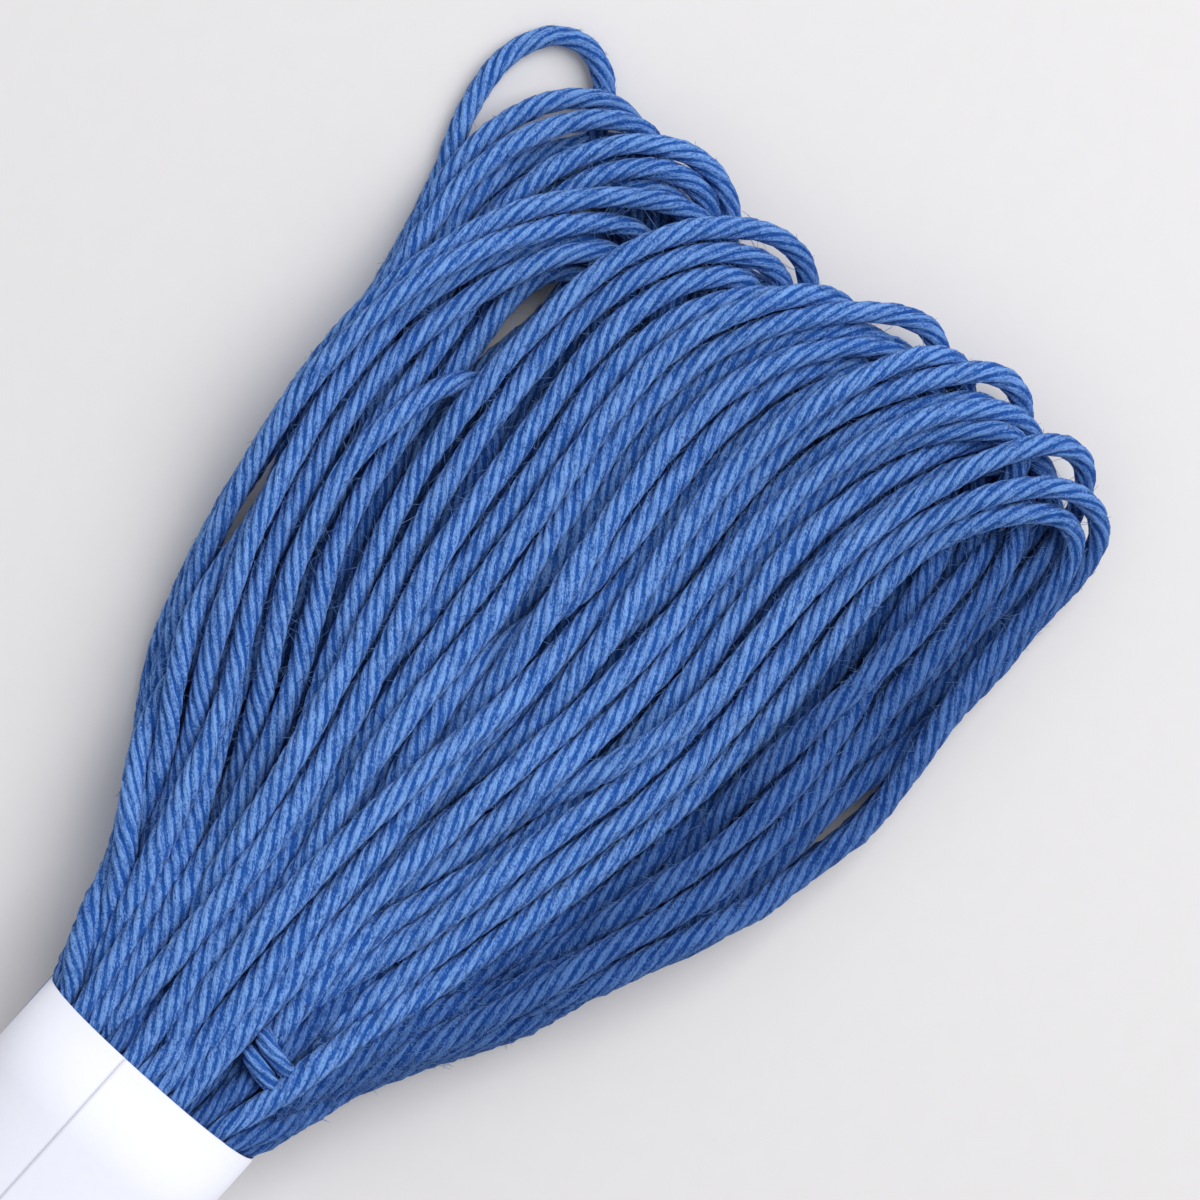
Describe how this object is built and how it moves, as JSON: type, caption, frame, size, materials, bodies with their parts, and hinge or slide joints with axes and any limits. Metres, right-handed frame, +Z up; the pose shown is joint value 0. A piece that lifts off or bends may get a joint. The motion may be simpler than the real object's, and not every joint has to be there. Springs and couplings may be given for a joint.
{
  "type": "skein of sashiko thread",
  "caption": "Hank of blue, loosely twisted cotton thread, spread in a flat fan of loops at each end and bound round its middle by a plain white paper band.",
  "frame": {"origin": "on the surface that the skein lies on, under the middle of its box", "axes": "+X along the hank towards the end with the tie, +Y to the left of it seen from above, +Z up"},
  "size_m": [0.1328, 0.0332, 0.0085],
  "materials": {
    "blue_cotton": "matte cotton, loosely twisted plies with a slight fuzz",
    "white_paper": "smooth matte paper"
  },
  "bodies": {
    "root": {"hank": "blue_cotton", "paper_band": "white_paper", "tie": "blue_cotton"}
  },
  "joints": []
}
